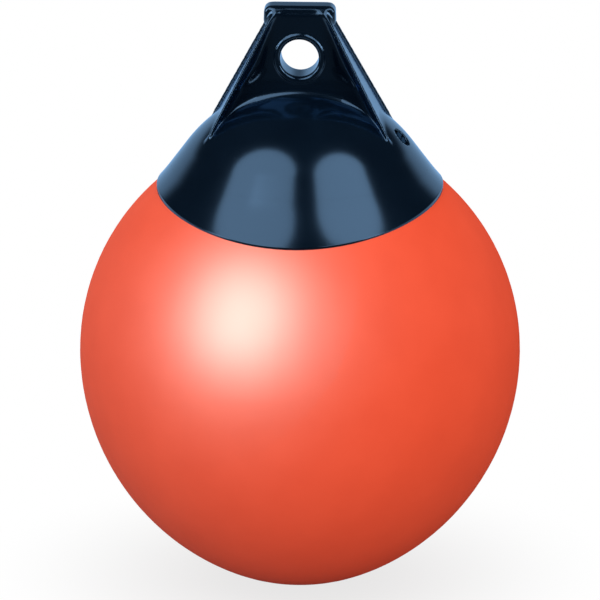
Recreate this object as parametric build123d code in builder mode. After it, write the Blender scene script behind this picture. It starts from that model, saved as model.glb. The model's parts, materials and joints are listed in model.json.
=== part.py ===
from build123d import *
import os
from math import atan2, copysign, cos, hypot, radians, sin, sqrt, tan

# Inflatable marker buoy: a vinyl ball with a moulded rope hold and an air valve.
# Millimetres, +Z up, origin on the axis at the waterline, rope eye along Y.

# Ball
ball_radius = 145.0
ball_depth = 158.0
ball_wall = 2.5
crown_height = 147.0
side_flat_below = 1.3077
side_flat_above = 1.6
draft = 66.0
equator_z = ball_depth - draft

# Rope hold skirt
bond_gap = 0.2
rim_half_x = 93.7
rim_half_y = 105.9
rim_lip = 1.2
cone_angle = 36.4
flare_reach = 19.9
cone_cover = 5.82
dome_radius = 85.0

# Rope hold tower
tower_height = 49.2
foot_sink = 5.3
foot_clear = 0.7
ridge_turn = 26.53
ridge_top_x = 17.6
ridge_top_y = 11.06
ridge_land = 2.0
ridge_draft = 0.3
ridge_round = 3.4
head_half_x = 23.3
head_half_y = 7.5
head_drop = 6.0
head_rise = 3.0
head_corner = 4.6
head_round = 1.6

# Eye boss, pockets and side channels
eye_radius = 12.5
eye_round = 2.4
ring_radius = 16.4
ring_clear = 1.8
ring_height = 1.4
ring_round = 1.1
boss_half_y = 10.0
boss_half_x = 15.2
boss_spread = 0.383
boss_side = 0.5
web_half = 6.4
floor_slope = 0.4
knee_rise = 1.2
pocket_drop = 15.0
pocket_reach = 26.0
channel_drop = 7.5
channel_depth = 2.0
channel_land = 3.0
channel_reach = 30.0

# Air valve
valve_turn = 6.7
valve_rise = 0.3
recess_radius = 6.6
recess_depth = 5.0
seat_radius = 5.5
seat_fit = 0.05
seat_bore = 3.5
seat_length = 10.0
seat_cover = 3.9
washer_radius = 4.8
washer_bore = 3.5
washer_height = 1.2
plug_radius = 4.2
plug_head = 2.4
plug_shank = 3.2
shank_clear = 1.0
slot_width = 1.4
slot_depth = 1.2
overlap = 2.0

os.makedirs("parts", exist_ok=True)


def arc_join(flat, height):
    """Side arc's radius and shift, end arc's centre and radius, and the joint where they are tangent."""
    shift = flat * (height - ball_radius)
    side_radius = ball_radius + shift
    radius = (side_radius**2 - shift**2 - height**2) / (2 * (side_radius - height))
    centre = height - radius
    along = copysign(side_radius / hypot(shift, centre), shift)
    return side_radius, shift, centre, radius, along * shift - shift, along * centre


low_s, low_shift, low_c, low_r, low_x, low_h = arc_join(side_flat_below, ball_depth)
top_s, top_shift, top_c, top_r, top_x, top_h = arc_join(side_flat_above, crown_height)


def ball_profile(inset):
    """Points of the ball's half outline, inset from its outer face."""
    low_mid = atan2(low_h - low_c, low_x) / 2 + radians(45)
    top_mid = atan2(top_h - top_c, top_x) / 2 + radians(45)
    low_end = atan2(low_h, low_x + low_shift)
    top_end = atan2(top_h, top_x + top_shift)

    def low_point(angle):
        radius = low_s - inset
        return (radius * cos(angle) - low_shift, equator_z - radius * sin(angle))

    def top_point(angle):
        radius = top_s - inset
        return (radius * cos(angle) - top_shift, equator_z + radius * sin(angle))

    return [
        (0, equator_z - ball_depth + inset),
        ((low_r - inset) * cos(low_mid), equator_z - low_c - (low_r - inset) * sin(low_mid)),
        low_point(low_end),
        low_point(low_end / 2),
        (ball_radius - inset, equator_z),
        top_point(top_end / 2),
        top_point(top_end),
        ((top_r - inset) * cos(top_mid), equator_z + top_c + (top_r - inset) * sin(top_mid)),
        (0, equator_z + crown_height - inset),
    ]


def ball_top(radius, gap):
    """Height of the ball's upper face above the equator, with a gap on it."""
    if radius < bond_joint:
        return top_c + sqrt((top_r + gap) ** 2 - radius**2)
    return sqrt((top_s + gap) ** 2 - (radius + top_shift) ** 2)


# Skirt profile: dome, cone and a flare that runs out on the ball
slant = radians(cone_angle)
bond_joint = top_x * (1 + bond_gap / top_r)
flare_x = rim_half_y + rim_lip
flare_z = ball_top(flare_x, bond_gap) + rim_lip
dome_x = dome_radius * cos(slant)
valve_r = dome_x - valve_rise
seat_end_x = valve_r - (recess_depth + seat_length) * cos(slant)
seat_end_z = ball_top(seat_end_x, bond_gap) + seat_cover
valve_low_z = seat_end_z + (recess_depth + seat_length) * sin(slant)
cone_low_x = rim_half_y - flare_reach
cone_low_z = max(
    ball_top(cone_low_x, bond_gap) + cone_cover,
    valve_low_z - (cone_low_x - valve_r) / tan(slant),
)
dome_z = cone_low_z + (cone_low_x - dome_x) / tan(slant)
dome_c = dome_z - dome_radius * sin(slant)
dome_top = dome_c + dome_radius
dome_mid = radians(45) + slant / 2
bond_ends = [flare_x, bond_joint, 0] if bond_joint < flare_x else [flare_x, 0]
bond_arcs = [
    [(radius, equator_z + ball_top(radius, bond_gap)) for radius in (near, (near + far) / 2, far)]
    for near, far in zip(bond_ends, bond_ends[1:])
]

# Heights of the tower above the equator, and its foot just inside the cone
tower_top = dome_top + tower_height
tower_foot = dome_z - foot_sink
head_top = tower_top + head_rise
head_low = tower_top - head_drop
eye_z = dome_top + ring_radius + ring_clear
knee_z = dome_top + knee_rise
pocket_top = tower_top - pocket_drop
channel_top = tower_top - channel_drop
foot_r = cone_low_x - (tower_foot - cone_low_z) * tan(slant) - foot_clear
ridge_foot_x = foot_r * cos(radians(ridge_turn))
ridge_foot_y = foot_r * sin(radians(ridge_turn))


def half_x(height):
    return ridge_top_x + (ridge_foot_x - ridge_top_x) * (tower_top - height) / (tower_top - tower_foot)


def half_y(height):
    return ridge_top_y + (ridge_foot_y - ridge_top_y) * (tower_top - height) / (tower_top - tower_foot)


def wall_x(height, depth):
    """Half width between the inner walls of the ridges at a distance from the eye's middle plane."""
    return half_x(height) - ridge_land - ridge_draft * (half_y(height) - depth)


def boss_x(height, depth):
    """Half width of the eye boss at a distance from the eye's middle plane."""
    spread = boss_spread * (half_x(height) - ridge_top_x)
    return boss_half_x + spread + boss_side * (boss_half_y - depth)


def floor_z(depth):
    """Height at which the sloping floor between the ridges is at a distance from the eye's middle plane."""
    return knee_z - (depth - boss_half_y) / floor_slope


# Valve plane: on the cone, facing outwards along its normal
valve_h = cone_low_z + (cone_low_x - valve_r) / tan(slant)
plug_reach = seat_length - shank_clear
side = Vector(cos(radians(valve_turn)), -sin(radians(valve_turn)), 0)
outward = Vector(side.X * cos(slant), side.Y * cos(slant), sin(slant))
across = Vector(-side.Y, side.X, 0)
valve_plane = Plane(origin=side * valve_r + Vector(0, 0, equator_z + valve_h), x_dir=across, z_dir=outward)

# Ball: blown vinyl shell with the air hole under the valve
with BuildPart() as ball:
    for inset, mode in ((0, Mode.ADD), (ball_wall, Mode.SUBTRACT)):
        p = ball_profile(inset)
        with BuildSketch(Plane.XZ):
            with BuildLine():
                ThreePointArc(p[0], p[1], p[2])
                ThreePointArc(p[2], p[3], p[4])
                ThreePointArc(p[4], p[5], p[6])
                ThreePointArc(p[6], p[7], p[8])
                Line(p[8], p[0])
            make_face()
        revolve(axis=Axis.Z, mode=mode)
    with BuildSketch(valve_plane.offset(-recess_depth - seat_length)):
        Circle(seat_bore)
    extrude(amount=-pocket_reach, mode=Mode.SUBTRACT)

# Rope hold: skirt, tower, head, eye, pockets and side channels in one moulding
with BuildPart() as rope_hold:
    # Head plate with rounded top corners
    with BuildSketch(Plane.XZ):
        with Locations((0, equator_z + (head_low + head_top) / 2)):
            head = Rectangle(2 * head_half_x, head_top - head_low)
        fillet(head.vertices().group_by(Axis.Y)[-1], head_corner)
    extrude(amount=head_half_y, both=True)
    top_edges = rope_hold.edges().filter_by(
        lambda edge: edge.center().Z > equator_z + (head_low + head_top) / 2
        and abs(abs(edge.center().Y) - head_half_y) < seat_fit
    )
    fillet(top_edges, head_round)
    # Tower with four ridges, rounded over at their tops
    for height in (tower_foot, tower_top):
        with BuildSketch(Plane.XY.offset(equator_z + height)):
            Rectangle(2 * half_x(height), 2 * half_y(height))
    loft()
    ridge_edges = rope_hold.edges().filter_by(
        lambda edge: abs(edge.center().Z - equator_z - tower_top) < seat_fit
        and abs(abs(edge.center().Y) - ridge_top_y) < seat_fit
    )
    fillet(ridge_edges, min(ridge_round, ridge_top_y - head_half_y - seat_fit))
    # Recess on both faces down to the eye boss and a sloping floor, then a pocket on each side of the boss
    for facing in (1, -1):
        for reach in (boss_half_y, boss_half_y + pocket_reach):
            low = floor_z(reach)
            with BuildSketch(Plane.XZ.offset(facing * reach)):
                with BuildLine():
                    Polyline(
                        (-wall_x(tower_top, reach), equator_z + tower_top),
                        (wall_x(tower_top, reach), equator_z + tower_top),
                        (wall_x(low, reach), equator_z + low),
                        (-wall_x(low, reach), equator_z + low),
                        close=True,
                    )
                make_face()
        loft(mode=Mode.SUBTRACT)
        for hand in (1, -1):
            for reach in (web_half, boss_half_y):
                low = floor_z(reach)
                with BuildSketch(Plane.XZ.offset(facing * reach)):
                    with BuildLine():
                        Polyline(
                            (hand * boss_x(pocket_top, reach), equator_z + pocket_top),
                            (hand * wall_x(pocket_top, reach), equator_z + pocket_top),
                            (hand * wall_x(low, reach), equator_z + low),
                            (hand * boss_x(low, reach), equator_z + low),
                            close=True,
                        )
                    make_face()
            loft(mode=Mode.SUBTRACT)
    # Channels on both sides
    for facing in (1, -1):
        for height in (tower_foot, channel_top):
            near = half_x(height) - channel_depth
            with BuildSketch(Plane.XY.offset(equator_z + height)):
                with Locations((facing * (near + channel_reach / 2), 0)):
                    Rectangle(channel_reach, 2 * (half_y(height) - channel_land))
        loft(mode=Mode.SUBTRACT)
    # Tower foot cut to the ball
    with BuildSketch(Plane.XZ):
        with BuildLine():
            for arc in bond_arcs:
                ThreePointArc(*arc)
            Polyline(bond_arcs[-1][2], (0, equator_z), bond_arcs[0][0])
        make_face()
    revolve(axis=Axis.Z, mode=Mode.SUBTRACT)
    # Skirt on the ball, so that pockets and channels end on the dome
    with BuildSketch(Plane.XZ):
        with BuildLine():
            ThreePointArc(
                (0, equator_z + dome_top),
                (dome_radius * cos(dome_mid), equator_z + dome_c + dome_radius * sin(dome_mid)),
                (dome_x, equator_z + dome_z),
            )
            Line((dome_x, equator_z + dome_z), (cone_low_x, equator_z + cone_low_z))
            TangentArc(
                (cone_low_x, equator_z + cone_low_z),
                (flare_x, equator_z + flare_z),
                tangent=(sin(slant), -cos(slant)),
            )
            Line((flare_x, equator_z + flare_z), bond_arcs[0][0])
            for arc in bond_arcs:
                ThreePointArc(*arc)
            Line(bond_arcs[-1][2], (0, equator_z + dome_top))
        make_face()
    revolve(axis=Axis.Z)
    with BuildSketch(Plane.XY.offset(equator_z)):
        Ellipse(rim_half_x, rim_half_y)
    extrude(amount=head_top, mode=Mode.INTERSECT)
    # Eye with a raised ring on both faces
    with BuildSketch(Plane.XZ):
        with Locations((0, equator_z + eye_z)):
            Circle(ring_radius)
    extrude(amount=boss_half_y + ring_height, both=True)
    with BuildSketch(Plane.XZ):
        with Locations((0, equator_z + eye_z)):
            Circle(eye_radius)
    extrude(amount=boss_half_y + pocket_reach, both=True, mode=Mode.SUBTRACT)
    ring_wall = ring_radius - eye_radius
    roundings = ((eye_radius, min(eye_round, 0.62 * ring_wall)), (ring_radius, min(ring_round, 0.3 * ring_wall)))
    for radius, rounding in roundings:
        rim_edges = rope_hold.edges().filter_by(GeomType.CIRCLE).filter_by(
            lambda edge: abs(edge.radius - radius) < seat_fit
            and abs(abs(edge.center().Y) - boss_half_y - ring_height) < seat_fit
        )
        fillet(rim_edges, rounding)
    # Valve recess, seat hole and air hole
    with BuildSketch(valve_plane.offset(overlap)):
        Circle(recess_radius)
    extrude(amount=-recess_depth - overlap, mode=Mode.SUBTRACT)
    with BuildSketch(valve_plane.offset(-recess_depth)):
        Circle(seat_radius + seat_fit)
    extrude(amount=-seat_length, mode=Mode.SUBTRACT)
    with BuildSketch(valve_plane.offset(-recess_depth - seat_length)):
        Circle(seat_bore)
    extrude(amount=-pocket_reach, mode=Mode.SUBTRACT)

# Valve seat: threaded bush in the rope hold
with BuildPart() as valve_seat:
    with BuildSketch(valve_plane.offset(-recess_depth)):
        Circle(seat_radius)
        Circle(seat_bore, mode=Mode.SUBTRACT)
    extrude(amount=-seat_length)

# Valve washer: sealing ring under the plug's head
with BuildPart() as valve_washer:
    with BuildSketch(valve_plane.offset(-recess_depth)):
        Circle(washer_radius)
        Circle(washer_bore, mode=Mode.SUBTRACT)
    extrude(amount=washer_height)

# Valve plug: slotted head on a shank
with BuildPart() as valve_plug:
    with BuildSketch(valve_plane.offset(-recess_depth + washer_height)):
        Circle(plug_radius)
    extrude(amount=plug_head)
    with BuildSketch(valve_plane.offset(-recess_depth + washer_height)):
        Circle(plug_shank)
    extrude(amount=-plug_reach)
    with BuildSketch(valve_plane.offset(-recess_depth + washer_height + plug_head)):
        Rectangle(2 * plug_radius + overlap, slot_width)
    extrude(amount=-slot_depth, mode=Mode.SUBTRACT)

ball.part.label = "ball"
rope_hold.part.label = "rope_hold"
valve_seat.part.label = "valve_seat"
valve_washer.part.label = "valve_washer"
valve_plug.part.label = "valve_plug"
export_step(ball.part, "parts/ball.step")
export_step(rope_hold.part, "parts/rope_hold.step")
export_step(valve_seat.part, "parts/valve_seat.step")
export_step(valve_washer.part, "parts/valve_washer.step")
export_step(valve_plug.part, "parts/valve_plug.step")

for piece in (ball, rope_hold, valve_seat, valve_washer, valve_plug):
    box = piece.part.bounding_box()
    print(piece.part.label, round(piece.part.volume), box.min, box.max)
print("valve plane", valve_plane.origin, valve_plane.z_dir)
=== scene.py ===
import json
from math import cos, pi, radians, sin

import bmesh
import bpy
import numpy as np
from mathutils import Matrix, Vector


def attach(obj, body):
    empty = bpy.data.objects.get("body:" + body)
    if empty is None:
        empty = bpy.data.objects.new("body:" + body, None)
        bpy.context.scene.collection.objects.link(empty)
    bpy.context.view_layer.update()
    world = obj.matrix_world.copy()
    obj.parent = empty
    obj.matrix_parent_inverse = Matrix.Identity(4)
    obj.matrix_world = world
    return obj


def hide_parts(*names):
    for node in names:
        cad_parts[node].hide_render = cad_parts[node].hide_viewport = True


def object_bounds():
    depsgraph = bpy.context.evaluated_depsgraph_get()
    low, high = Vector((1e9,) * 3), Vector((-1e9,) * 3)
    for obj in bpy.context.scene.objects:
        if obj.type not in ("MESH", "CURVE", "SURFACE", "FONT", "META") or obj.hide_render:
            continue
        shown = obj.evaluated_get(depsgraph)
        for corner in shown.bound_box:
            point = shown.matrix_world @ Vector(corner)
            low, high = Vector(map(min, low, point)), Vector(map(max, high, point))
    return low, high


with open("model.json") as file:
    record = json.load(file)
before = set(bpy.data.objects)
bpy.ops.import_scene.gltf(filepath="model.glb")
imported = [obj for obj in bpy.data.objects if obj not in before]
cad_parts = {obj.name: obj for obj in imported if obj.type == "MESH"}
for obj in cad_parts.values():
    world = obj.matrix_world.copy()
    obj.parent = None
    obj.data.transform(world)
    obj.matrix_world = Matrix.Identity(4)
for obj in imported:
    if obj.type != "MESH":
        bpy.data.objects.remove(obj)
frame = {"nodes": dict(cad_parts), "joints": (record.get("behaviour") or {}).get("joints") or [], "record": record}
nodes = frame["nodes"]
cad_low, cad_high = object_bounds()
scene = bpy.context.scene
scene.view_settings.view_transform = "Standard"

# Sizes in millimetres, heights above the ball's equator; slopes are ratios, and rates are per millimetre
EQUATOR = 92.0  # above the frame's origin
BALL_RADIUS = 145.0
SIDE_ARC = 148.2
RIM_X, RIM_Y, RIM_LIP = 93.7, 105.9, 1.2
RING_START, RIM_EDGE, RIM_SLOPE, SKIRT_LIFT = 83.6, 0.4, 0.6, 0.2
CONE_ANGLE, CONE_X, CONE_Z = radians(36.4), 86.0, 124.4
DOME_RADIUS = 93.0
TOWER_TOP, RIDGE_X, RIDGE_Y = 232.0, 17.6, 11.06
SLOPE_X, SLOPE_Y = 0.522, 0.235
RIDGE_LAND, RIDGE_DRAFT = 2.0, 0.3
FADE_Z, FADE_RATE = 156.0, 0.02
HEAD_X, HEAD_Y, HEAD_LOW, HEAD_TOP, HEAD_CORNER = 23.3, 7.5, 222.0, 235.0, 4.6
RING_RADIUS, RING_HEIGHT = 16.4, 1.4
BOSS_Y, BOSS_X, BOSS_SPREAD, BOSS_SIDE = 10.0, 15.2, 0.2, 0.5
FLARE_TOP, FLARE_RATE = 196.0, 0.06
WEB, KNEE_Z, FLOOR_SLOPE = 6.4, 184.0, 0.4
CHANNEL_TOP, CHANNEL_DEPTH, CHANNEL_LAND = 224.5, 2.0, 3.0
RECESS_RADIUS, RECESS_DEPTH, SEAT_RADIUS, SEAT_LENGTH, BORE_CLEAR = 6.6, 5.0, 5.5, 10.0, 0.1
WASHER_HEIGHT, SHANK, SHANK_REACH, PITCH = 1.2, 3.2, 9.0, 2.5
THREAD_START, THREAD_SHORT, THREAD_RISE, THREAD_ROOT = 0.9, 2.0, 0.24, 0.1
THREAD_HALF, CREST_HALF = 0.55, 0.12
NET_LOW, NET_HIGH, NET_STEP = (-86.4, -86.4, 126.3), (86.6, 86.6, 236.6), 1.15

# Rope eye and valve, where the frame has them
mount = next(m for m in frame["record"]["mounts"] if m["name"] == "rope_eye")
EYE_Z, EYE_RADIUS = mount["pos_m"][2] * 1000 - EQUATOR, mount["dims"]["r_mm"]
joint = next(j for j in frame["joints"] if j["name"] == "plug_turn")
VALVE_POS = np.array(joint["pos_m"]) * 1000 - (0, 0, EQUATOR)
VALVE_AXIS = np.array(joint["axis"])

# Steps along the thread, those of its fading ends, and points round the rim and rows across it
THREAD_STEPS, THREAD_FADE, RIM_POINTS, RIM_ROWS = 120, 8, 720, 22

# Softness of the moulding's corners, in millimetres of blend
TOP_SOFT, CREST_SOFT, HEAD_SOFT, NECK_SOFT = 8.0, 3.0, 3.0, 3.0
FLOOR_SOFT, POCKET_SOFT, POCKET_EDGE = 4.0, 4.0, 1.4
BOSS_SOFT, BOSS_EDGE, BOSS_FOOT = 4.0, 1.0, 5.0
CHANNEL_SOFT, CHANNEL_END, CHANNEL_EDGE = 2.0, 4.0, 1.2
FOOT_X, FOOT_SOFT = (28.0, 50.0), (5.5, 1.6)  # falls off between two distances from the middle
RING_SOFT, RING_FOOT, EYE_SOFT = 1.6, 1.4, 3.12
RECESS_SOFT, RECESS_EDGE = 0.8, 1.0

# Lengths of the slanted faces' gradients, which turn their offsets into distances
LEAN_X, LEAN_Y, LEAN_WALL, LEAN_FLOOR = 1.128, 1.027, 1.14, 1.05

# Curves of the skirt's outline
CA, SA = cos(CONE_ANGLE), sin(CONE_ANGLE)
DOME_X = DOME_RADIUS * CA
DOME_Z = CONE_Z + (CONE_X - DOME_X) * CA / SA
DOME_C = DOME_Z - DOME_RADIUS * SA
CONE_LENGTH = (CONE_X - DOME_X) * SA + (DOME_Z - CONE_Z) * CA
ARC_X = BALL_RADIUS - SIDE_ARC
FLARE_X = RIM_Y + RIM_LIP
FLARE_Z = ((SIDE_ARC + SKIRT_LIFT) ** 2 - (FLARE_X - ARC_X) ** 2) ** 0.5 + RIM_LIP
STEP_X, STEP_Z = FLARE_X - CONE_X, FLARE_Z - CONE_Z
FLARE_R = (STEP_X**2 + STEP_Z**2) / (2 * (STEP_X * CA + STEP_Z * SA))
FLARE_CX, FLARE_CZ = CONE_X + FLARE_R * CA, CONE_Z + FLARE_R * SA


def blend_min(a, b, k):
    """Lesser of two distances, rounded over a width k where they meet."""
    h = np.maximum(k - np.abs(a - b), 0) / k
    return np.minimum(a, b) - h * h * k / 4


def blend_max(a, b, k):
    """Greater of two distances, rounded likewise."""
    return -blend_min(-a, -b, k)


def skirt_distance(r, z):
    """Distance from the dome, cone and flare, positive outside."""
    along = (r - CONE_X) * SA - (z - CONE_Z) * CA
    dome = np.hypot(r, z - DOME_C) - DOME_RADIUS
    cone = (r - CONE_X) * CA + (z - CONE_Z) * SA
    flare = FLARE_R - np.hypot(r - FLARE_CX, z - FLARE_CZ)
    return np.where(along < -CONE_LENGTH, dome, np.where(along < 0, cone, flare))


def hold_distance(p):
    """Distance from the moulded rope hold with its soft corners, positive outside."""
    x, y, z = np.abs(p[..., 0]), np.abs(p[..., 1]), p[..., 2]
    fade = FADE_RATE * np.maximum(FADE_Z - z, 0) ** 2
    half_x = RIDGE_X + SLOPE_X * (TOWER_TOP - z) - fade
    half_y = RIDGE_Y + SLOPE_Y * (TOWER_TOP - z) - fade
    front = blend_max((y - half_y) / LEAN_Y, z - TOWER_TOP, TOP_SOFT)
    tower = blend_max((x - half_x) / LEAN_X, front, CREST_SOFT)
    # Head with rounded top corners
    qx = x - HEAD_X + HEAD_CORNER
    qz = np.abs(z - (HEAD_LOW + HEAD_TOP) / 2) - (HEAD_TOP - HEAD_LOW) / 2 + HEAD_CORNER
    head = np.hypot(np.maximum(qx, 0), np.maximum(qz, 0)) + np.minimum(np.maximum(qx, qz), 0) - HEAD_CORNER
    head = blend_max(head, y - HEAD_Y, HEAD_SOFT)
    hull = tower
    # Floor between the ridges with a slope at its foot, and the eye boss on it
    floor = blend_max(WEB + 0 * z, BOSS_Y + FLOOR_SLOPE * (KNEE_Z - z), FLOOR_SOFT)
    wall = (x - (half_x - RIDGE_LAND - RIDGE_DRAFT * (half_y - y))) / LEAN_WALL
    pocket = blend_max((floor - y) / LEAN_FLOOR, wall, POCKET_SOFT)
    tower = blend_max(tower, -pocket, POCKET_EDGE)
    spread = BOSS_SPREAD * (TOWER_TOP - z) + FLARE_RATE * np.maximum(FLARE_TOP - z, 0) ** 2
    boss = (x - BOSS_X - spread - BOSS_SIDE * (BOSS_Y - y)) / LEAN_WALL
    boss = blend_max(blend_max(boss, y - BOSS_Y, BOSS_SOFT), hull, BOSS_EDGE)
    tower = blend_min(tower, boss, BOSS_FOOT)
    # Channels on both sides
    base, side = (half_x - CHANNEL_DEPTH - x) / LEAN_X, (y - half_y + CHANNEL_LAND) / LEAN_Y
    channel = blend_max(base, side, CHANNEL_SOFT)
    channel = blend_max(channel, z - CHANNEL_TOP, CHANNEL_END)
    tower = blend_max(tower, -channel, CHANNEL_EDGE)
    tower = blend_min(tower, head, NECK_SOFT)
    # Soft foot on the skirt, then the eye with its raised ring, and the valve recess
    soft = np.interp(x, FOOT_X, FOOT_SOFT)
    hold = blend_min(tower, skirt_distance(np.hypot(p[..., 0], p[..., 1]), z), soft)
    eye = np.hypot(x, z - EYE_Z)
    ring = blend_max(eye - RING_RADIUS, y - BOSS_Y - RING_HEIGHT, RING_SOFT)
    hold = blend_min(hold, ring, RING_FOOT)
    hold = blend_max(hold, EYE_RADIUS - eye, EYE_SOFT)
    q = p - VALVE_POS
    depth = q @ VALVE_AXIS
    radius = np.sqrt(np.maximum((q * q).sum(-1) - depth * depth, 0))
    recess = blend_max(radius - RECESS_RADIUS, -RECESS_DEPTH - depth, RECESS_SOFT)
    bore = np.maximum(radius - SEAT_RADIUS - BORE_CLEAR, -RECESS_DEPTH - SEAT_LENGTH - depth)
    return blend_max(hold, -np.minimum(recess, bore), RECESS_EDGE)


def slope(p):
    """Gradient of the distance."""
    h = 0.02
    out = np.empty_like(p)
    for axis in range(3):
        d = np.zeros(3)
        d[axis] = h
        out[:, axis] = (hold_distance(p + d) - hold_distance(p - d)) / (2 * h)
    return out


def net(low, high, step, slabs=24, passes=6, least=0.2):
    """Quad net over the zero level of the distance inside a box, drawn onto it in a few passes."""
    axes = [np.arange(a, b, step) for a, b in zip(low, high)]
    grid = np.stack(np.meshgrid(*axes, indexing="ij"), axis=-1)
    f = np.concatenate([hold_distance(part) for part in np.array_split(grid, slabs)])
    inside = f < 0
    cells = np.array(f.shape) - 1
    total = np.zeros((*cells, 3))
    count = np.zeros(cells)
    quads = []
    crossings = []
    for axis in range(3):
        first = [slice(None)] * 3
        second = [slice(None)] * 3
        first[axis], second[axis] = slice(None, -1), slice(1, None)
        f0, f1 = f[tuple(first)], f[tuple(second)]
        where = np.argwhere(inside[tuple(first)] != inside[tuple(second)])
        keep = np.ones(len(where), bool)
        for other in range(3):
            if other != axis:
                keep &= (where[:, other] > 0) & (where[:, other] < cells[other])
        where = where[keep]
        a, b = f0[tuple(where.T)], f1[tuple(where.T)]
        point = where.astype(float)
        point[:, axis] += a / (a - b)
        crossings.append((axis, where, a < 0))
        u, v = (axis + 1) % 3, (axis + 2) % 3
        for du in (0, 1):
            for dv in (0, 1):
                cell = where.copy()
                cell[:, u] -= du
                cell[:, v] -= dv
                np.add.at(total, tuple(cell.T), point)
                np.add.at(count, tuple(cell.T), 1)
    used = count > 0
    index = np.full(cells, -1)
    index[used] = np.arange(used.sum())
    points = np.array(low) + step * total[used] / count[used][:, None]
    for axis, where, outward in crossings:
        u, v = (axis + 1) % 3, (axis + 2) % 3
        corner = []
        for du, dv in ((0, 0), (1, 0), (1, 1), (0, 1)):
            cell = where.copy()
            cell[:, u] -= du
            cell[:, v] -= dv
            corner.append(index[tuple(cell.T)])
        quad = np.stack(corner, axis=1)
        quad[~outward] = quad[~outward][:, ::-1]
        quads.append(quad)
    for _ in range(passes):
        g = slope(points)
        move = hold_distance(points)[:, None] * g / np.maximum((g * g).sum(1), least)[:, None]
        points -= np.clip(move, -step / 2, step / 2)
    return points, np.concatenate(quads)


def rim_ring():
    """Skirt below the net, out to the oval rim and down to the ball."""
    turn = np.linspace(0, 2 * pi, RIM_POINTS, endpoint=False)
    c, s = np.cos(turn), np.sin(turn)
    rim = 1 / np.sqrt((c / RIM_X) ** 2 + (s / RIM_Y) ** 2)

    def height(r):
        cone = CONE_Z + (CONE_X - r) * CA / SA
        flare = FLARE_CZ - np.sqrt(np.maximum(FLARE_R**2 - (r - FLARE_CX) ** 2, 0))
        return np.where(r < CONE_X, cone, flare)

    inner = rim - RIM_EDGE
    rows = []
    for part in np.linspace(0, 1, RIM_ROWS):
        r = RING_START + (inner - RING_START) * part
        rows.append((r, height(r)))
    for angle in (22, 45, 68, 90):
        a = radians(angle)
        drop = RIM_SLOPE * sin(a) + (1 - cos(a))
        rows.append((inner + RIM_EDGE * sin(a), height(inner) - RIM_EDGE * drop))
    ball_top = np.sqrt(SIDE_ARC**2 - (rim - ARC_X) ** 2)
    rows.append((rim, ball_top - RIM_EDGE))
    points = np.stack([np.stack((r * c, r * s, h), axis=1) for r, h in rows])
    across = np.gradient(points, axis=0)
    around = np.roll(points, -1, axis=1) - np.roll(points, 1, axis=1)
    normal = np.cross(across, around)
    normal /= np.linalg.norm(normal, axis=2)[..., None]
    for row, sink in ((0, 0.12), (1, 0.04)):  # its start dips under the net
        points[row] -= sink * normal[row]
    n = RIM_POINTS
    i, j = np.meshgrid(np.arange(len(rows) - 1), np.arange(n), indexing="ij")
    k = (j + 1) % n
    quads = np.stack((i * n + j, (i + 1) * n + j, (i + 1) * n + k, i * n + k), axis=-1).reshape(-1, 4)
    return points.reshape(-1, 3), normal.reshape(-1, 3), quads


def piece(name, points, quads, normals, mat, body, node=None):
    """Mesh piece from points in millimetres above the equator."""
    mesh = bpy.data.meshes.new(name)
    metres = (np.asarray(points) + (0, 0, EQUATOR)) / 1000
    mesh.from_pydata(metres.tolist(), [], np.asarray(quads).tolist())
    mesh.polygons.foreach_set("use_smooth", [True] * len(mesh.polygons))
    if normals is not None:
        mesh.normals_split_custom_set_from_vertices(np.asarray(normals).tolist())
    mesh.materials.append(mat)
    obj = bpy.data.objects.new(name, mesh)
    scene.collection.objects.link(obj)
    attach(obj, body)
    if node:
        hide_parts(node)
    return obj


def add(tree, kind, inputs=None, **settings):
    """New shader node with its settings, its inputs set to values or linked to outputs."""
    node = tree.nodes.new("ShaderNode" + kind)
    for name, value in settings.items():
        setattr(node, name, value)
    for name, value in (inputs or {}).items():
        if isinstance(value, bpy.types.NodeSocket):
            tree.links.new(value, node.inputs[name])
        else:
            node.inputs[name].default_value = value
    return node


def smooth(tree, value, low, high, start=0.0, end=1.0):
    """Smooth step of a value, from start at low to end at high."""
    inputs = {"Value": value, "From Min": low, "From Max": high, "To Min": start, "To Max": end}
    return add(tree, "MapRange", inputs, interpolation_type="SMOOTHSTEP").outputs["Result"]


def maths(tree, operation, a, b):
    """Result of two values."""
    return add(tree, "Math", {0: a, 1: b}, operation=operation).outputs["Value"]


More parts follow.
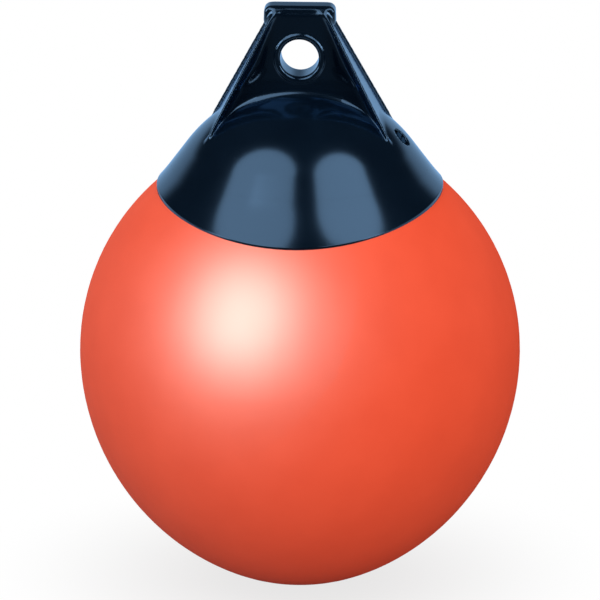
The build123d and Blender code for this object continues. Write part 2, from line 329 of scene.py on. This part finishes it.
def material(name, dark, light, rough, spread, drift, grain, tint, ior=None, share=0.0):
    """Plastic with a fine drift of colour and roughness, a slight grain and a tinted gloss.

    The gloss goes by angle where an IOR is given, and otherwise has one share all over.
    """
    mat = bpy.data.materials.new(name)
    mat.use_nodes = True
    tree = mat.node_tree
    where = add(tree, "TexCoord").outputs["Object"]
    noise = add(tree, "TexNoise", {"Scale": drift, "Detail": 4, "Vector": where}).outputs["Fac"]
    ramp = add(tree, "ValToRGB", {"Fac": noise})
    for stop, position, colour in zip(ramp.color_ramp.elements, (0.3, 0.7), (dark, light)):
        stop.position = position
        stop.color = (*colour, 1)
    span = {"Value": noise, "To Min": rough - spread, "To Max": rough + spread}
    roughness = add(tree, "MapRange", span).outputs["Result"]
    fine = add(tree, "TexNoise", {"Scale": grain, "Vector": where}).outputs["Fac"]
    bump = add(tree, "Bump", {"Strength": 0.025, "Distance": 0.0002, "Height": fine}).outputs["Normal"]
    body = tree.nodes["Principled BSDF"]
    body.inputs["Specular IOR Level"].default_value = 0.0
    tree.links.new(ramp.outputs["Color"], body.inputs["Base Color"])
    tree.links.new(roughness, body.inputs["Roughness"])
    tree.links.new(bump, body.inputs["Normal"])
    gloss = add(tree, "BsdfGlossy", {"Color": (*tint, 1), "Roughness": roughness, "Normal": bump})
    part = add(tree, "Fresnel", {"IOR": ior}).outputs["Fac"] if ior else share
    mix = add(tree, "MixShader", {"Fac": part, 1: body.outputs["BSDF"], 2: gloss.outputs["BSDF"]})
    tree.links.new(mix.outputs["Shader"], tree.nodes["Material Output"].inputs["Surface"])
    return mat


plain, bluish = (1.0, 1.0, 1.0), (0.33, 0.61, 1.0)
red = material("red_vinyl", (0.82, 0.058, 0.009), (0.86, 0.065, 0.012), rough=0.5, spread=0.02,
               drift=30, grain=500, tint=plain, share=0.035)
blue = material("blue_vinyl", (0.0005, 0.0020, 0.0050), (0.0008, 0.0028, 0.0066), rough=0.155, spread=0.015,
                drift=40, grain=700, tint=bluish, ior=1.62)
seat = material("seat_plastic", (0.003, 0.022, 0.070), (0.004, 0.027, 0.084), rough=0.5, spread=0.05,
                drift=300, grain=900, tint=bluish, share=0.01)
rubber = material("washer_rubber", (0.006, 0.006, 0.007), (0.010, 0.010, 0.011), rough=0.7, spread=0.05,
                  drift=300, grain=900, tint=plain, share=0.01)
plug = material("plug_plastic", (0.006, 0.024, 0.055), (0.008, 0.030, 0.066), rough=0.4, spread=0.04,
                drift=300, grain=900, tint=bluish, share=0.03)
for name, mat in (("ball", red), ("rope_hold", blue), ("valve_seat", seat), ("valve_washer", rubber),
                  ("valve_plug", plug)):
    nodes[name].data.materials.clear()
    nodes[name].data.materials.append(mat)

# Ball as one smooth skin, welded where its halves meet
weld = bmesh.new()
weld.from_mesh(nodes["ball"].data)
weld.transform(nodes["ball"].matrix_world)
bmesh.ops.remove_doubles(weld, verts=weld.verts, dist=2e-6)
weld.verts.index_update()
points = [v.co * 1000 - Vector((0, 0, EQUATOR)) for v in weld.verts]
faces = [[v.index for v in face.verts] for face in weld.faces]
weld.free()
ball = piece("ball_skin", points, faces, None, red, "buoy", "ball")

# Rope hold with its soft moulded corners, and the rim of its skirt
points, quads = net(NET_LOW, NET_HIGH, NET_STEP)
normals = slope(points)
normals /= np.linalg.norm(normals, axis=1)[:, None]
ring_points, ring_normals, ring_quads = rim_ring()
quads = quads.tolist() + (ring_quads + len(points)).tolist()
skin = piece("rope_hold_skin", np.concatenate((points, ring_points)), quads,
             np.concatenate((normals, ring_normals)), blue, "buoy", "rope_hold")

# Thread on the plug's shank
up = np.array((0.0, 0.0, 1.0))
across = np.cross(up, VALVE_AXIS)
across /= np.linalg.norm(across)
over = np.cross(VALVE_AXIS, across)
length = SHANK_REACH - THREAD_SHORT
top = -RECESS_DEPTH + WASHER_HEIGHT - THREAD_START
thread = []
for i in range(THREAD_STEPS + 1):
    angle = 2 * pi * length / PITCH * i / THREAD_STEPS
    height = top - length * i / THREAD_STEPS
    ray = across * cos(angle) + over * sin(angle)
    crest = SHANK + THREAD_RISE * min(1, i / THREAD_FADE, (THREAD_STEPS - i) / THREAD_FADE)
    root = SHANK - THREAD_ROOT
    for r, h in ((root, THREAD_HALF), (crest, CREST_HALF), (crest, -CREST_HALF), (root, -THREAD_HALF)):
        thread.append(VALVE_POS + ray * r + VALVE_AXIS * (height + h))
starts = [4 * i + j for i in range(THREAD_STEPS) for j in range(3)]
faces = [(k, k + 4, k + 5, k + 1) for k in starts]
piece("plug_thread", thread, faces, None, plug, "plug")

# Floor: pale; white to the eye, and in gloss where it lies behind, but for a shade at the buoy's foot
FLOOR_SIZE, FLOOR_PALE, FLOOR_IN_GLOSS = 40, (0.33, 0.33, 0.33, 1), (0.1, 0.1, 0.1, 1)
SHADE, SHADE_WHITE, FRONT = (0.03, 0.22), 0.78, (-0.7, -0.35)
bpy.ops.mesh.primitive_plane_add(size=FLOOR_SIZE, location=(0, 0, cad_low.z))
floor = bpy.context.object
floor.name = "floor"
mat = bpy.data.materials.new("floor")
mat.use_nodes = True
tree = mat.node_tree
where = add(tree, "TexCoord").outputs["Object"]
away = add(tree, "VectorMath", {0: where}, operation="LENGTH").outputs["Value"]
far = smooth(tree, away, *SHADE, start=SHADE_WHITE)
parts = add(tree, "SeparateXYZ", {"Vector": where})
behind = smooth(tree, parts.outputs["Y"], *FRONT)
path = add(tree, "LightPath")
greys = {"A": FLOOR_PALE, "B": FLOOR_IN_GLOSS, "Factor": path.outputs["Is Glossy Ray"]}
pale = add(tree, "Mix", greys, data_type="RGBA")
matt = tree.nodes["Principled BSDF"]
matt.inputs["Roughness"].default_value = 1.0
matt.inputs["Specular IOR Level"].default_value = 0.0
tree.links.new(pale.outputs["Result"], matt.inputs["Base Color"])
seen = maths(tree, "MAXIMUM", path.outputs["Is Glossy Ray"], path.outputs["Is Transmission Ray"])
mirrored = maths(tree, "MULTIPLY", seen, behind)
shown = maths(tree, "MAXIMUM", path.outputs["Is Camera Ray"], mirrored)
factor = maths(tree, "MULTIPLY", shown, far)
white = add(tree, "Emission")
mix = add(tree, "MixShader", {"Fac": factor, 1: matt.outputs["BSDF"], 2: white.outputs["Emission"]})
tree.links.new(mix.outputs["Shader"], tree.nodes["Material Output"].inputs["Surface"])
floor.data.materials.append(mat)

# World: even light for matt faces; to the eye and in gloss, white low down behind the buoy and dim elsewhere
AMBIENT, DIM = 0.95, 0.035
BACK, RISE = (-0.3, 0.15), (0.18, 0.34)
world = bpy.data.worlds.new("studio")
scene.world = world
world.use_nodes = True
tree = world.node_tree
where = add(tree, "TexCoord").outputs["Generated"]
parts = add(tree, "SeparateXYZ", {"Vector": where})
side = smooth(tree, parts.outputs["Y"], *BACK, start=DIM)
lower = smooth(tree, parts.outputs["Z"], *RISE, start=1.0, end=DIM)
backdrop = maths(tree, "MULTIPLY", side, lower)
path = add(tree, "LightPath")
seen = maths(tree, "MAXIMUM", path.outputs["Is Glossy Ray"], path.outputs["Is Transmission Ray"])
shown = maths(tree, "MAXIMUM", path.outputs["Is Camera Ray"], seen)
level = add(tree, "Mix", {"A": AMBIENT, "B": backdrop, "Factor": shown})
back = tree.nodes["Background"]
back.inputs["Color"].default_value = (1, 1, 1, 1)
tree.links.new(level.outputs["Result"], back.inputs["Strength"])


def panel(name, low, high, height, radiance):
    """Overhead oval panel between two corners, facing down, in metres."""
    data = bpy.data.lights.new(name, "AREA")
    data.shape = "ELLIPSE"
    data.size = high[0] - low[0]
    data.size_y = high[1] - low[1]
    data.energy = radiance * pi * data.size * data.size_y * pi / 4
    obj = bpy.data.objects.new(name, data)
    scene.collection.objects.link(obj)
    obj.location = ((low[0] + high[0]) / 2, (low[1] + high[1]) / 2, height)
    return obj


def facing(azimuth, elevation):
    """Direction to a viewer or lamp, by degrees to the right of the front and above it."""
    az, el = radians(azimuth), radians(elevation)
    return Vector((sin(az) * cos(el), -cos(az) * cos(el), sin(el)))


def softbox(name, azimuth, elevation, distance, width, height, radiance):
    """Lamp turned to the buoy, by its angles in degrees and its distance and sizes in metres."""
    data = bpy.data.lights.new(name, "AREA")
    data.shape = "RECTANGLE"
    data.size = width
    data.size_y = height
    data.energy = radiance * pi * width * height
    obj = bpy.data.objects.new(name, data)
    scene.collection.objects.link(obj)
    away = facing(azimuth, elevation)
    obj.location = Vector((0, 0, EQUATOR / 1000 + AIM_RISE)) + away * distance
    obj.rotation_euler = away.to_track_quat("Z", "Y").to_euler()
    return obj


def light_only(lamp, obj):
    """Keep a lamp to one object."""
    only = bpy.data.collections.new(lamp.name + "_on")
    only.objects.link(obj)
    lamp.light_linking.receiver_collection = only


# Lamps: a key for all, and the others each for the ball's or the rope hold's own gloss and shade
AIM_RISE = 0.06
softbox("key", azimuth=-33, elevation=40, distance=1.5, width=0.62, height=0.55, radiance=2.4)
shine = softbox("shine", azimuth=-31, elevation=27, distance=1.5, width=1.1, height=1.2, radiance=42.0)
shine.visible_diffuse = False
shine.data.color = (1.0, 0.97, 0.9)
light_only(shine, ball)
for name, azimuth in (("side_left", -66), ("side_right", 64)):
    lamp = softbox(name, azimuth, elevation=24, distance=1.6, width=0.5, height=0.7, radiance=9.0)
    light_only(lamp, skin)
fill = softbox("fill", azimuth=10, elevation=16, distance=2.0, width=1.2, height=0.8, radiance=4.5)
fill.visible_glossy = False
light_only(fill, ball)
light_only(panel("panel_left", (-1.67, -1.36), (-0.05, -0.08), height=1.45, radiance=3.6), skin)
light_only(panel("panel_right", (0.3, -1.3), (1.62, -0.06), height=1.45, radiance=4.0), skin)

# Camera: long lens, a little above and to the right of the eye's axis
AZIMUTH, ELEVATION, DISTANCE, FRAME_WIDTH, FRAME_RISE = 2.3, 17.5, 4.5, 0.3949, 0.0335
SENSOR = 36
data = bpy.data.cameras.new("camera")
data.sensor_width = SENSOR
data.lens = SENSOR * DISTANCE / FRAME_WIDTH
data.clip_end = 100
camera = bpy.data.objects.new("camera", data)
scene.collection.objects.link(camera)
away = facing(AZIMUTH, ELEVATION)
camera.location = Vector((0, 0, EQUATOR / 1000 + FRAME_RISE)) + away * DISTANCE
camera.rotation_euler = away.to_track_quat("Z", "Y").to_euler()
scene.camera = camera
